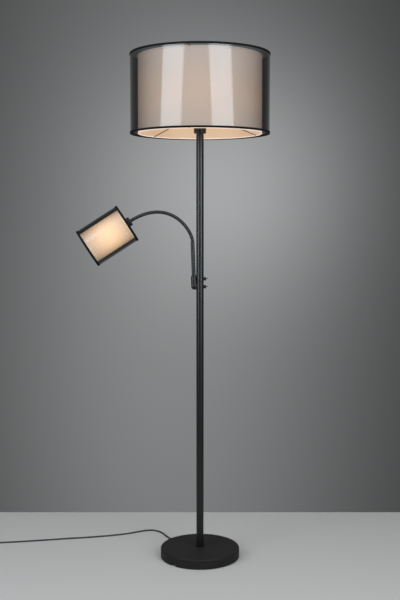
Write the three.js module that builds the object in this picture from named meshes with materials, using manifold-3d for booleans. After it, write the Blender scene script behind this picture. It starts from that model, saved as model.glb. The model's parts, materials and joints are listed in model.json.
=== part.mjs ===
// Standard floor lamp: a double drum shade on a straight pole, and a gooseneck reading light.
// Millimetres. +Z is up, +X points to the switches, the gooseneck leaves on the -X side.
// Origin: where the pole's axis meets the floor.
import * as THREE from "three";
import { mergeVertices } from "three/addons/utils/BufferGeometryUtils.js";
import Module from "manifold-3d";

const wasm = await Module();
wasm.setup();

// ---- Driving dimensions ----

const GAP = 0.3; // clearance between pieces that touch
const WALL = 1; // wall of the pole's tubes
const SIDES = { large: 32, medium: 20, pole: 16, small: 12, wire: 4 }; // flats on the round pieces

const LAMP_HEIGHT = 1500;
const PAD = { radius: 112, height: 2 };
const BASE = { radius: 119, height: 29.5, skin: 1.2, edge: 3, skirtEnd: 1.2 };
const WEIGHT = { radius: 116, recess: 95, recessTop: 17 };
const THREAD = { radius: 5, bore: 3.4 }; // hollow M10 nipples
const BASE_NUT = { circle: 11, height: 7 };

// Notches in the base's skirt: one lets the cord out behind, to the left; the other is empty.
const NOTCH_DEPTH = 30;
const CORD_NOTCH = { angle: THREE.MathUtils.degToRad(124), width: 9.2, top: 11 };
const SPARE_NOTCH = { angle: THREE.MathUtils.degToRad(-132.6), width: 22, top: 6.5 };
const EXIT_HEIGHT = 6.4; // the cord's centre where it leaves the base
const LEAD_RADIUS = 1.6; // the wires inside the base and the pole
const RELIEF = { start: 108, shoulder: 120, end: 147, radius: 4.2, tip: 3.2 };

const POLE = { radius: 11, lowerSeam: 420, upperSeam: 920, top: 1271.3 };
const JOINER = { radius: 9.7, bore: 7, length: 44 };
const INSERT_LENGTH = 20; // threaded inserts at both ends of the pole

const SWITCH_HEIGHTS = { upper: 844.5, lower: 821 };
const SWITCH_CASE = { depth: 8.4, width: 8, height: 12 };
const SWITCH = { bushing: 2.8, face: 18.4, nut: 5, nutLength: 6.6 };
const LEVER = { pivot: 15.5, ball: 1.7, room: 0.35, waist: 1.3, tip: 1, length: 8, tilt: 12 };

// The sleeve's axis leans away from the pole.
const ARM = { x: -18.8, z: 861, lean: THREE.MathUtils.degToRad(2.06) };
const ELBOW = { radius: 8.7, bottom: 821, top: 850 };
const STUD = { height: 824, radius: 3.4, bore: 2.2, inner: 4.6, outer: 16 };
const STUD_NUT = { circle: 5.4, near: 5, far: 7.6 };
const SLEEVE = { radius: 5.75, bore: 4.3, bottom: 832, top: 955 };
const COLLAR = { radius: 7.2, height: 4.6 };

// The neck bends in one plane, which is swung a little towards the front.
const NECK = { radius: 5, socket: 5.3, links: 6, rise: 33, reach: 141, swing: THREE.MathUtils.degToRad(5.8) };

const HOLDER = { radius: 18, wall: 1.2, foot: 1271.6, top: 1324.5 };
const BARREL = { radius: 16.4, foot: 1288.5, seat: 1313.5, top: 1342.5 };
const CLAMP = { radius: 22, bottom: 1327.3, top: 1334.5 };
const BULB = { cap: 13.2, capFoot: 1313.8, capTop: 1343.5, neck: 14, radius: 30, centre: 1387.5 };

const WIRE = 1.5; // radius of the large shade's wire
const SHADE = { radius: 205, bottom: 1269, trim: 6, skin: 0.9, trimSkin: 0.6 };
const INNER_SHADE = { radius: 181, bottom: 1272.8, top: 1490.2 };
const SPIDER_ARMS = [21, 141, 261].map(THREE.MathUtils.degToRad);
const HUB = { radius: 26, bore: 16.8, bottom: 1325.1, height: 1.8 };

// The reading light is drawn along its own axis: z is 0 at the back of its shade and grows to the mouth.
const HEAD = { x: -213.3, z: 1010.3, tilt: THREE.MathUtils.degToRad(32.8), neckEnd: -7 };
const HEAD_SHADE = { radius: 60, length: 141.7, trim: 5, skin: 0.8, trimSkin: 0.6 };
const HEAD_INNER_SHADE = { radius: 47, inset: 3.8 };
const HEAD_WIRE = { radius: 1.2, inset: 2.2 };
const HEAD_ARMS = [0, 120, 240].map(THREE.MathUtils.degToRad);
const HEAD_CAP = { radius: 13.5, wall: 1.2, chamfer: 1.5, back: -10.5, front: -0.5 };
const HEAD_BARREL = { radius: 11.8, bore: 7.2, back: -6, seat: 4, front: 26 };
const HEAD_HUB = { radius: 18, bore: 12.1, back: 1.2, front: 3.2 };
const HEAD_CLAMP = { radius: 19, back: 3.6, front: 9.6 };
const HEAD_BULB = { cap: 6.8, capBack: 4.3, capFront: 27, neck: 9, radius: 22.5, centre: 58 };

const CORD = { radius: 2.5, rest: 2.6, sides: 8, steps: 60 };
// Where the cord lies, from the strain relief to the coil: x, y and the height of its centre.
const CORD_ROUTE = [
  [-82.5, 122.2, 6.4],
  [-90, 134.5, 5.6],
  [-98.5, 150.5, 4.2],
  [-109.5, 175, 2.9],
  [-121.5, 200.5, 2.6],
  [-131, 214, 2.6],
  [-143.5, 225, 2.6],
  [-160, 230.5, 2.6],
  [-180, 227, 2.6],
  [-201, 216, 2.6],
  [-238, 196, 2.6],
  [-290, 178, 2.6],
  [-360, 161, 2.6],
  [-430, 148, 2.6],
  [-500, 133.5, 2.6],
  [-570, 120, 2.6],
  [-630, 110.8, 2.6],
  [-660, 107, 2.6],
  [-684, 106.3, 2.6],
];
const COIL = { x: -684, y: 68, inner: 20.5, outer: 35.5, height: 10, chamfer: 2 };
const CORD_END = [
  [-722.3, 68, 7.6],
  [-723, 59, 7.5],
  [-724, 49, 7.2],
  [-724, 39, 7.2],
];
// The plug is drawn pointing along -Y, with its tail at y = 0. The grip's outline lists half its corners.
const PLUG = { x: -724, y: 38.7, z: 7.2, thickness: 13, length: 50, tail: { radius: 3.6, length: 14 } };
const GRIP = [
  [6, 12],
  [9, 20],
  [17.6, 32],
  [17.6, 50],
];
const PIN = { radius: 2, length: 19, spacing: 18.6 };

// ---- Finishes ----

const FINISHES = {
  powderBlack: { color: 0x2b2b2a, roughness: 0.6, metalness: 0.2 },
  poleBlack: { color: 0x1c1c1c, roughness: 0.35, metalness: 0.3 },
  castIron: { color: 0x4a4a4a, roughness: 0.8, metalness: 0.7 },
  steel: { color: 0xb4b4b4, roughness: 0.35, metalness: 1 },
  nickel: { color: 0xc8c6c2, roughness: 0.25, metalness: 1 },
  felt: { color: 0x202020, roughness: 1, metalness: 0 },
  blackPlastic: { color: 0x161616, roughness: 0.45, metalness: 0 },
  blackWire: { color: 0x1a1a1a, roughness: 0.45, metalness: 0.3 },
  organza: { color: 0x2a2523, roughness: 0.4, metalness: 0, transparent: true, opacity: 0.6 },
  trim: { color: 0x0f0f0f, roughness: 0.8, metalness: 0 },
  shadeCloth: { color: 0xf2e6d6, roughness: 0.9, metalness: 0 },
  opalGlass: { color: 0xfff4e0, roughness: 0.2, metalness: 0 },
};

// ---- Geometry helpers ----

const UP = new THREE.Vector3(0, 0, 1);

function toSolid(geometry) {
  const bare = geometry.clone();
  bare.deleteAttribute("normal");
  bare.deleteAttribute("uv");
  const merged = mergeVertices(bare, 1e-4);
  return new wasm.Manifold(
    new wasm.Mesh({
      numProp: 3,
      vertProperties: new Float32Array(merged.attributes.position.array),
      triVerts: new Uint32Array(merged.index.array),
    })
  );
}

function toGeometry(solid) {
  const mesh = solid.getMesh();
  const geometry = new THREE.BufferGeometry();
  geometry.setAttribute("position", new THREE.BufferAttribute(mesh.vertProperties, 3));
  geometry.setIndex(new THREE.BufferAttribute(mesh.triVerts, 1));
  geometry.computeVertexNormals();
  return geometry;
}

function join(...geometries) {
  return toGeometry(geometries.map(toSolid).reduce((whole, piece) => whole.add(piece)));
}

function cut(geometry, ...tools) {
  return toGeometry(tools.map(toSolid).reduce((whole, tool) => whole.subtract(tool), toSolid(geometry)));
}

// Turns a closed outline of [radius, height] points about the Z axis, listed anticlockwise.
function revolve(outline, sides) {
  const points = outline.map(([radius, height]) => new THREE.Vector2(radius, height));
  const geometry = new THREE.LatheGeometry(points, sides);
  geometry.rotateX(Math.PI / 2);
  return geometry;
}

function tube(outer, inner, bottom, top, sides) {
  return revolve(
    [
      [inner, bottom],
      [outer, bottom],
      [outer, top],
      [inner, top],
      [inner, bottom],
    ],
    sides
  );
}

function rod(radius, bottom, top, sides) {
  const geometry = new THREE.CylinderGeometry(radius, radius, top - bottom, sides);
  geometry.rotateX(Math.PI / 2);
  geometry.translate(0, 0, (bottom + top) / 2);
  return geometry;
}

function rodBetween(start, end, radius, sides) {
  const along = new THREE.Vector3().subVectors(end, start);
  const geometry = rod(radius, 0, along.length(), sides);
  geometry.applyQuaternion(new THREE.Quaternion().setFromUnitVectors(UP, along.normalize()));
  geometry.translate(start.x, start.y, start.z);
  return geometry;
}

// A rod along X at one height, on the pole's own plane.
function sideRod(radius, from, to, height) {
  const start = new THREE.Vector3(from, 0, height);
  const end = new THREE.Vector3(to, 0, height);
  return rodBetween(start, end, radius, SIDES.small);
}

function ball(radius, centre, sides) {
  const geometry = new THREE.SphereGeometry(radius, sides, sides / 2);
  geometry.translate(centre.x, centre.y, centre.z);
  return geometry;
}

function block(width, depth, height, centre) {
  const geometry = new THREE.BoxGeometry(width, depth, height);
  geometry.translate(...centre);
  return geometry;
}

function wireRing(radius, height, wire, sides) {
  const geometry = new THREE.TorusGeometry(radius, wire, SIDES.wire, sides);
  geometry.translate(0, 0, height);
  return geometry;
}

function roundOutline(radius, sides) {
  const points = [];
  for (let i = 0; i < sides; i += 1) {
    const angle = (2 * Math.PI * i) / sides;
    points.push(new THREE.Vector2(radius * Math.cos(angle), radius * Math.sin(angle)));
  }
  return new THREE.Shape(points);
}

function sweep(curve, radius, sides, steps) {
  return new THREE.ExtrudeGeometry(roundOutline(radius, sides), { steps, extrudePath: curve });
}

function polar(radius, angle, height) {
  return new THREE.Vector3(radius * Math.cos(angle), radius * Math.sin(angle), height);
}

function spline(points) {
  return new THREE.CatmullRomCurve3(points.map((point) => new THREE.Vector3(...point)));
}

// ---- Assembly ----

const lamp = new THREE.Group();

function place(name, geometry, finish, parent = lamp) {
  const mesh = new THREE.Mesh(geometry, new THREE.MeshStandardMaterial(FINISHES[finish]));
  mesh.name = name;
  parent.add(mesh);
  return mesh;
}

// ---- Base ----

// Boxes that run out past the base's rim, to cut its two notches.
function rimNotches() {
  return [CORD_NOTCH, SPARE_NOTCH].map(({ angle, width, top }) => {
    const notch = block(2 * NOTCH_DEPTH, width, top, [BASE.radius, 0, top / 2]);
    notch.rotateZ(angle);
    return notch;
  });
}

function baseCover() {
  const { radius, height, skin, edge, skirtEnd } = BASE;
  const hole = THREAD.radius + GAP;
  const edgeArc = [0, 45, 90].map((degrees) => {
    const angle = THREE.MathUtils.degToRad(degrees);
    return [radius - edge + edge * Math.cos(angle), height - edge + edge * Math.sin(angle)];
  });
  const shell = revolve(
    [
      [radius - skin, skirtEnd],
      [radius, skirtEnd],
      ...edgeArc,
      [hole, height],
      [hole, height - skin],
      [radius - edge, height - skin],
      [radius - skin, height - edge],
      [radius - skin, skirtEnd],
    ],
    SIDES.large
  );
  return cut(shell, ...rimNotches());
}

function baseWeight() {
  const top = BASE.height - BASE.skin - GAP;
  const hole = THREAD.radius + GAP;
  const bottom = PAD.height + GAP;
  const casting = revolve(
    [
      [WEIGHT.recess, bottom],
      [WEIGHT.radius, bottom],
      [WEIGHT.radius, top],
      [hole, top],
      [hole, WEIGHT.recessTop],
      [WEIGHT.recess, WEIGHT.recessTop],
      [WEIGHT.recess, bottom],
    ],
    SIDES.large
  );
  return cut(casting, ...rimNotches());
}

function cordGrommet() {
  const { start, shoulder, end, radius, tip } = RELIEF;
  const grommet = revolve(
    [
      [0, start],
      [radius, start],
      [radius, shoulder],
      [tip, end],
      [0, end],
    ],
    SIDES.small
  );
  grommet.rotateY(Math.PI / 2);
  grommet.rotateZ(CORD_NOTCH.angle);
  grommet.translate(0, 0, EXIT_HEIGHT);
  return grommet;
}

function hexNut(circleRadius, bore, bottom, top) {
  return cut(rod(circleRadius, bottom, top, 6), rod(bore, bottom - 1, top + 1, SIDES.small));
}

const nutTop = WEIGHT.recessTop - GAP;
const nutFoot = nutTop - BASE_NUT.height;
const nippleFoot = nutFoot - 0.5;
const poleFoot = BASE.height + GAP;
const nippleTop = poleFoot + INSERT_LENGTH + 4;

place("base_pad", rod(PAD.radius, 0, PAD.height, SIDES.large), "felt");
place("base_weight", baseWeight(), "castIron");
place("base_cover", baseCover(), "powderBlack");
place("base_nut", hexNut(BASE_NUT.circle, THREAD.radius + GAP, nutFoot, nutTop), "steel");
place("base_nipple", tube(THREAD.radius, THREAD.bore, nippleFoot, nippleTop, SIDES.small), "steel");
place("cord_grommet", cordGrommet(), "blackPlastic");

// ---- Pole ----

const poleBore = POLE.radius - WALL;

function poleTube(bottom, top) {
  return tube(POLE.radius, poleBore, bottom + GAP / 2, top - GAP / 2, SIDES.pole);
}

function poleMiddle() {
  const inside = POLE.radius / 2;
  const outside = POLE.radius + 3;
  const switchHoles = Object.values(SWITCH_HEIGHTS).map((height) =>
    sideRod(SWITCH.bushing + GAP, inside, outside, height)
  );
  const studHole = sideRod(STUD.radius + GAP, -outside, -inside, STUD.height);
  return cut(poleTube(POLE.lowerSeam, POLE.upperSeam), ...switchHoles, studHole);
}

function insert(bottom, top) {
  return tube(JOINER.radius, THREAD.radius + GAP, bottom, top, SIDES.pole);
}

function joiner(seam) {
  return tube(JOINER.radius, JOINER.bore, seam - JOINER.length / 2, seam + JOINER.length / 2, SIDES.pole);
}

place("pole_foot", insert(poleFoot, poleFoot + INSERT_LENGTH), "steel");
place("pole_lower", poleTube(poleFoot, POLE.lowerSeam), "poleBlack");
place("pole_joiner_lower", joiner(POLE.lowerSeam), "steel");
place("pole_middle", poleMiddle(), "poleBlack");
place("pole_joiner_upper", joiner(POLE.upperSeam), "steel");
place("pole_upper", poleTube(POLE.upperSeam, POLE.top), "poleBlack");
place("pole_head", insert(POLE.top - GAP - INSERT_LENGTH, POLE.top - GAP), "steel");

// ---- Wiring inside the base and the pole ----

// Shares its steps equally between its points, so a tight bend gets as many as a long straight run.
class SteppedSpline extends THREE.CatmullRomCurve3 {
  getUtoTmapping(fraction) {
    return fraction;
  }
}

// The lead steps aside half-way up the pole, between the switches and the bracket's stud.
function supplyLead() {
  const aside = -2.1;
  const underBase = (reach, height) => polar(reach, CORD_NOTCH.angle, height);
  const inPole = (x, height) => new THREE.Vector3(x, 0, height);
  const route = [
    underBase(RELIEF.start - GAP, EXIT_HEIGHT),
    underBase(60, 5.5),
    underBase(16, 4.6),
    underBase(5, 5.2),
    underBase(1, nippleFoot - 1),
    inPole(0, nippleFoot + 6),
    inPole(0, poleFoot + 60),
    inPole(0, POLE.lowerSeam),
    inPole(0, SWITCH_HEIGHTS.lower - 70),
    inPole(aside, SWITCH_HEIGHTS.lower - 20),
    inPole(aside, SWITCH_HEIGHTS.upper + 20),
    inPole(0, SWITCH_HEIGHTS.upper + 70),
    inPole(0, POLE.top - 60),
    inPole(0, POLE.top + 8),
  ];
  const stepsPerStretch = 3;
  const curve = new SteppedSpline(route, false, "centripetal");
  return sweep(curve, LEAD_RADIUS, 6, stepsPerStretch * (route.length - 1));
}

place("supply_lead", supplyLead(), "blackPlastic");

// ---- Switches ----

function switchBody(height) {
  const { depth, width, height: tall } = SWITCH_CASE;
  const { bushing, face } = SWITCH;
  const back = 0.2; // the case starts just past the middle of the pole
  const box = block(depth, width, tall, [back + depth / 2, 0, height]);
  const well = sideRod(LEVER.ball + LEVER.room, LEVER.pivot - LEVER.ball - 1, face + 1, height);
  return cut(join(box, sideRod(bushing, depth, face, height)), well);
}

function switchNut(height) {
  const { nut, nutLength, bushing } = SWITCH;
  const back = POLE.radius + GAP;
  const ring = tube(nut, bushing + GAP, back, back + nutLength, SIDES.small);
  ring.rotateY(Math.PI / 2);
  ring.translate(0, 0, height);
  return ring;
}

// The lever is drawn along +Z from the centre of its ball, then laid over to its "on" position.
function switchLever(height) {
  const ballArc = [-90, -60, -30, 0, 30, 55].map((degrees) => {
    const angle = THREE.MathUtils.degToRad(degrees);
    return [Math.max(LEVER.ball * Math.cos(angle), 0), LEVER.ball * Math.sin(angle)];
  });
  const { waist, tip, length } = LEVER;
  const lever = revolve([...ballArc, [waist, length - 1.5], [tip, length - 0.4], [0, length]], 8);
  lever.rotateY(THREE.MathUtils.degToRad(90 - LEVER.tilt));
  lever.translate(LEVER.pivot, 0, height);
  return lever;
}

for (const [level, height] of Object.entries(SWITCH_HEIGHTS)) {
  place(`switch_body_${level}`, switchBody(height), "blackPlastic");
  place(`switch_nut_${level}`, switchNut(height), "poleBlack");
  place(`switch_lever_${level}`, switchLever(height), "poleBlack");
}

// ---- Arm bracket and sleeve ----

// Pieces on the sleeve's axis are drawn along Z through the origin at their real heights, then leaned over.
function ontoArmAxis(geometry) {
  geometry.translate(0, 0, -ARM.z);
  geometry.rotateY(-ARM.lean);
  geometry.translate(ARM.x, 0, ARM.z);
  return geometry;
}

function armPoint(height) {
  return new THREE.Vector3(ARM.x - (height - ARM.z) * Math.tan(ARM.lean), 0, height);
}

function armElbow() {
  const { radius, bottom, top } = ELBOW;
  const past = 20; // how far the cutting tools run on past the elbow
  const barrel = ontoArmAxis(rod(radius, bottom, top, SIDES.pole));
  const turn = ball(radius, armPoint(bottom), SIDES.pole);
  const boss = rodBetween(armPoint(bottom), new THREE.Vector3(0, 0, bottom), radius, SIDES.pole);
  const socket = ontoArmAxis(rod(SLEEVE.radius + GAP, SLEEVE.bottom - GAP, top + past, SIDES.pole));
  const riser = ontoArmAxis(rod(STUD.radius, STUD.height, SLEEVE.bottom, SIDES.small));
  const passage = sideRod(STUD.radius + GAP, armPoint(STUD.height).x, 0, STUD.height);
  const pole = rod(POLE.radius + GAP, bottom - past, top + past, SIDES.pole);
  return cut(join(barrel, turn, boss), socket, riser, passage, pole);
}

// Turns a piece drawn along +Z so that it runs from the pole towards the sleeve at the stud's height.
function ontoStudAxis(geometry) {
  geometry.rotateY(-Math.PI / 2);
  geometry.translate(0, 0, STUD.height);
  return geometry;
}

function sleeveTube(outer, inner, bottom, top) {
  return ontoArmAxis(tube(outer, inner, bottom, top, SIDES.pole));
}

function armStud() {
  return ontoStudAxis(tube(STUD.radius, STUD.bore, STUD.inner, STUD.outer, SIDES.small));
}

function armNut() {
  return ontoStudAxis(hexNut(STUD_NUT.circle, STUD.radius + GAP, STUD_NUT.near, STUD_NUT.far));
}

function armCollar() {
  const foot = ELBOW.top + GAP;
  return sleeveTube(COLLAR.radius, SLEEVE.radius + GAP, foot, foot + COLLAR.height);
}

place("arm_elbow", armElbow(), "poleBlack");
place("arm_stud", armStud(), "steel");
place("arm_nut", armNut(), "steel");
place("arm_collar", armCollar(), "poleBlack");
place("arm_sleeve", sleeveTube(SLEEVE.radius, SLEEVE.bore, SLEEVE.bottom, SLEEVE.top), "poleBlack");

// ---- Flexible neck ----

const armDirection = new THREE.Vector3(-Math.sin(ARM.lean), 0, Math.cos(ARM.lean));
const headDirection = new THREE.Vector3(-Math.cos(HEAD.tilt), 0, -Math.sin(HEAD.tilt));
headDirection.applyAxisAngle(armDirection, NECK.swing);
const headOrigin = new THREE.Vector3(HEAD.x, 0, HEAD.z);
headOrigin.sub(armPoint(ARM.z)).applyAxisAngle(armDirection, NECK.swing).add(armPoint(ARM.z));

function neckCurve() {
  const start = armPoint(SLEEVE.top).addScaledVector(armDirection, GAP);
  const end = headOrigin.clone().addScaledVector(headDirection, HEAD.neckEnd);
  return new THREE.CubicBezierCurve3(
    start,
    start.clone().addScaledVector(armDirection, NECK.rise),
    end.clone().addScaledVector(headDirection, -NECK.reach),
    end
  );
}

const neck = neckCurve();

// A stretch of the neck between two fractions of its length.
class NeckStretch extends THREE.Curve {
  constructor(from, to) {
    super();
    this.from = from;
    this.to = to;
  }

  getPoint(fraction, target = new THREE.Vector3()) {
    return target.copy(neck.getPointAt(THREE.MathUtils.lerp(this.from, this.to, fraction)));
  }
}

// Bending points lie at the middle of each fifth of the neck, so the first and last link are half as long.
const bends = [];
for (let i = 0; i < NECK.links - 1; i += 1) {
  bends.push((i + 0.5) / (NECK.links - 1));
}
const linkEnds = [0, ...bends, 1];

// Each link starts in a ball on its bending point and ends in a hollow that takes the next link's ball.
function neckLink(index) {
  const from = linkEnds[index];
  const to = linkEnds[index + 1];
  let link = sweep(new NeckStretch(from, to), NECK.radius, 10, 4);
  if (index > 0) {
    link = join(link, ball(NECK.radius, neck.getPointAt(from), 10));
  }
  if (index < NECK.links - 1) {
    link = cut(link, ball(NECK.socket, neck.getPointAt(to), 14));
  }
  return link;
}

for (let index = 0; index < NECK.links; index += 1) {
  place(`neck_link_${index + 1}`, neckLink(index), "poleBlack");
}

// ---- Main lamp holder and bulb ----

function holderCup() {
  const { radius, wall, foot, top } = HOLDER;
  const hole = THREAD.radius + GAP;
  return revolve(
    [
      [hole, foot],
      [radius, foot],
      [radius, top],
      [radius - wall, top],
      [radius - wall, foot + wall],
      [hole, foot + wall],
      [hole, foot],
    ],
    SIDES.medium
  );
}

// A lamp holder's barrel: solid up to the seat, where the bulb's screw cap goes in.
function holderBarrel({ radius, foot, seat, top }, bore, sides) {
  return revolve(
    [
      [0, foot],
      [radius, foot],
      [radius, top],
      [bore, top],
      [bore, seat],
      [0, seat],
    ],
    sides
  );
}

function holderClamp() {
  return tube(CLAMP.radius, BARREL.radius + GAP, CLAMP.bottom, CLAMP.top, SIDES.medium);
}

function bulbGlass({ neck: neckRadius, radius, centre }, start) {
  const outline = [
    [0, start],
    [neckRadius, start],
  ];
  for (let degrees = -45; degrees <= 90; degrees += 27) {
    const angle = THREE.MathUtils.degToRad(degrees);
    outline.push([Math.max(radius * Math.cos(angle), 0), centre + radius * Math.sin(angle)]);
  }
  return revolve(outline, SIDES.pole);
}

const headNippleFoot = POLE.top - INSERT_LENGTH + 2;
const headNippleTop = BARREL.foot - 2;

place("holder_nipple", tube(THREAD.radius, THREAD.bore, headNippleFoot, headNippleTop, SIDES.small), "steel");
place("holder_cup", holderCup(), "poleBlack");
place("holder_barrel", holderBarrel(BARREL, BULB.cap + GAP, SIDES.medium), "blackPlastic");
place("holder_ring", holderClamp(), "blackPlastic");
place("bulb_cap", rod(BULB.cap, BULB.capFoot, BULB.capTop, SIDES.medium), "steel");
place("bulb_glass", bulbGlass(BULB, BULB.capTop + GAP), "opalGlass");

// ---- Large shade ----

const outerWireRing = SHADE.radius - SHADE.trimSkin - 2 * GAP - SHADE.skin - WIRE;
const innerWireRing = INNER_SHADE.radius - SHADE.skin / 2;
const innerRingDrop = WIRE + GAP;

// Straight wires from one [radius, height] to another, in each of the directions.
function spokes(angles, inner, outer, wire) {
  return angles.map((angle) => {
    const start = polar(inner[0], angle, inner[1]);
    const end = polar(outer[0], angle, outer[1]);
    return rodBetween(start, end, wire, SIDES.wire);
  });
}

function lowerFrame() {
  const height = INNER_SHADE.bottom - innerRingDrop;
  const hubWeld = [HUB.radius - 3, HUB.bottom + HUB.height / 2];
  return join(
    tube(HUB.radius, HUB.bore, HUB.bottom, HUB.bottom + HUB.height, SIDES.medium),
    wireRing(innerWireRing, height, WIRE, SIDES.large),
    wireRing(outerWireRing, height, WIRE, SIDES.large),
    ...spokes(SPIDER_ARMS, hubWeld, [innerWireRing, height], WIRE),
    ...spokes(SPIDER_ARMS, [innerWireRing, height], [outerWireRing, height], WIRE)
  );
}

function upperFrame() {
  const innerHeight = INNER_SHADE.top + innerRingDrop;
  const outerHeight = LAMP_HEIGHT - 2 * WIRE;
  return join(
    wireRing(innerWireRing, innerHeight, WIRE, SIDES.large),
    wireRing(outerWireRing, outerHeight, WIRE, SIDES.large),
    ...spokes(SPIDER_ARMS, [innerWireRing, innerHeight], [outerWireRing, outerHeight], WIRE)
  );
}

function largeSkin(outer, skin, bottom, top) {
  return tube(outer, outer - skin, bottom, top, SIDES.large);
}

function innerSkin() {
  return largeSkin(INNER_SHADE.radius, SHADE.skin, INNER_SHADE.bottom, INNER_SHADE.top);
}

function largeTrim(bottom) {
  return largeSkin(SHADE.radius, SHADE.trimSkin, bottom, bottom + SHADE.trim);
}

const organzaRadius = SHADE.radius - SHADE.trimSkin - GAP;

place("shade_frame_lower", lowerFrame(), "blackWire");
place("shade_frame_upper", upperFrame(), "blackWire");
place("shade_inner", innerSkin(), "shadeCloth");
place("shade_outer", largeSkin(organzaRadius, SHADE.skin, SHADE.bottom, LAMP_HEIGHT), "organza");
place("shade_trim_bottom", largeTrim(SHADE.bottom), "trim");
place("shade_trim_top", largeTrim(LAMP_HEIGHT - SHADE.trim), "trim");

// ---- Reading light ----

const head = new THREE.Group();
head.position.copy(headOrigin);
head.quaternion.setFromUnitVectors(UP, headDirection);
lamp.add(head);

function headCap() {
  const { radius, wall, chamfer, back, front } = HEAD_CAP;
  const hole = NECK.radius + GAP;
  return revolve(
    [
      [hole, back],
      [radius - chamfer, back],
      [radius, back + chamfer],
      [radius, front],
      [radius - wall, front],
      [radius - wall, back + wall],
      [hole, back + wall],
      [hole, back],
    ],
    SIDES.pole
  );
}

const headOuterRing = HEAD_SHADE.radius - HEAD_SHADE.trimSkin - 2 * GAP - HEAD_SHADE.skin - HEAD_WIRE.radius;
const headInnerRing = HEAD_INNER_SHADE.radius - HEAD_SHADE.skin / 2;

function headRings(height) {
  return [headInnerRing, headOuterRing].map((radius) =>
    wireRing(radius, height, HEAD_WIRE.radius, SIDES.medium)
  );
}

function headBackFrame() {
  const { radius, bore, back, front } = HEAD_HUB;
  const height = HEAD_WIRE.inset;
  const hub = tube(radius, bore, back, front, SIDES.pole);
  const arms = spokes(HEAD_ARMS, [radius - 2, height], [headOuterRing, height], HEAD_WIRE.radius);
  return join(hub, ...headRings(height), ...arms);
}

function headFrontFrame() {
  const height = HEAD_SHADE.length - HEAD_WIRE.inset;
  const arms = spokes(HEAD_ARMS, [headInnerRing, height], [headOuterRing, height], HEAD_WIRE.radius);
  return join(...headRings(height), ...arms);
}

function headClamp() {
  return tube(HEAD_CLAMP.radius, HEAD_HUB.bore, HEAD_CLAMP.back, HEAD_CLAMP.front, SIDES.pole);
}

function headBarrel() {
  const { radius, bore, back, seat, front } = HEAD_BARREL;
  return holderBarrel({ radius, foot: back, seat, top: front }, bore, SIDES.pole);
}

function headSkin(outer, skin, back, front) {
  return tube(outer, outer - skin, back, front, SIDES.medium);
}

function placeHeadSkins() {
  const { radius, length, trim, skin, trimSkin } = HEAD_SHADE;
  const { radius: inner, inset } = HEAD_INNER_SHADE;
  const organza = radius - trimSkin - GAP;
  place("head_shade_inner", headSkin(inner, skin, inset, length - inset), "shadeCloth", head);
  place("head_shade_outer", headSkin(organza, skin, 0, length), "organza", head);
  place("head_trim_back", headSkin(radius, trimSkin, 0, trim), "trim", head);
  place("head_trim_front", headSkin(radius, trimSkin, length - trim, length), "trim", head);
}

place("head_cap", headCap(), "poleBlack", head);
place("head_holder", headBarrel(), "blackPlastic", head);
place("head_frame_back", headBackFrame(), "blackWire", head);
place("head_ring", headClamp(), "blackPlastic", head);
place("head_bulb_cap", rod(HEAD_BULB.cap, HEAD_BULB.capBack, HEAD_BULB.capFront, SIDES.small), "steel", head);
place("head_bulb_glass", bulbGlass(HEAD_BULB, HEAD_BULB.capFront + GAP), "opalGlass", head);
place("head_frame_front", headFrontFrame(), "blackWire", head);
placeHeadSkins();

// ---- Supply cord ----

function coil() {
  const { x, y, inner, outer, height, chamfer } = COIL;
  const bottom = CORD.rest - CORD.radius;
  const ring = revolve(
    [
      [inner + chamfer, bottom],
      [outer - chamfer, bottom],
      [outer, bottom + chamfer],
      [outer, bottom + height - chamfer],
      [outer - chamfer, bottom + height],
      [inner + chamfer, bottom + height],
      [inner, bottom + height - chamfer],
      [inner, bottom + chamfer],
      [inner + chamfer, bottom],
    ],
    SIDES.medium
  );
  ring.translate(x, y, 0);
  return ring;
}

function plugBody() {
  const left = GRIP.map(([half, back]) => new THREE.Vector2(-half, -back));
  const right = GRIP.map(([half, back]) => new THREE.Vector2(half, -back)).reverse();
  const grip = new THREE.Shape([...left, ...right]);
  const shell = new THREE.ExtrudeGeometry(grip, { depth: PLUG.thickness, bevelEnabled: false });
  shell.translate(0, 0, -PLUG.thickness / 2);
  const { radius, length } = PLUG.tail;
  const tail = rodBetween(new THREE.Vector3(0, 0, 0), new THREE.Vector3(0, -length, 0), radius, SIDES.small);
  return join(shell, tail);
}

function plugPin(side) {
  const x = (side * PIN.spacing) / 2;
  const root = -PLUG.length - GAP;
  const tip = new THREE.Vector3(x, root - PIN.length, 0);
  return rodBetween(new THREE.Vector3(x, root, 0), tip, PIN.radius, 8);
}

place("power_cord", sweep(spline(CORD_ROUTE), CORD.radius, CORD.sides, CORD.steps), "blackPlastic");
place("cord_coil", coil(), "blackPlastic");
place("cord_end", sweep(spline(CORD_END), CORD.radius, CORD.sides, 5), "blackPlastic");

const plug = new THREE.Group();
plug.position.set(PLUG.x, PLUG.y, PLUG.z);
lamp.add(plug);
place("plug_body", plugBody(), "blackPlastic", plug);
place("plug_pin_left", plugPin(-1), "nickel", plug);
place("plug_pin_right", plugPin(1), "nickel", plug);

export default lamp;
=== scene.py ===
"""A standard floor lamp with a double drum shade and a gooseneck reading light, dressed for rendering.

Metres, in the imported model's frame: +Z up, +X towards the switches, -Y the front.
"""

import json
import math

import bmesh
import bpy
from mathutils import Matrix, Vector


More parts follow.
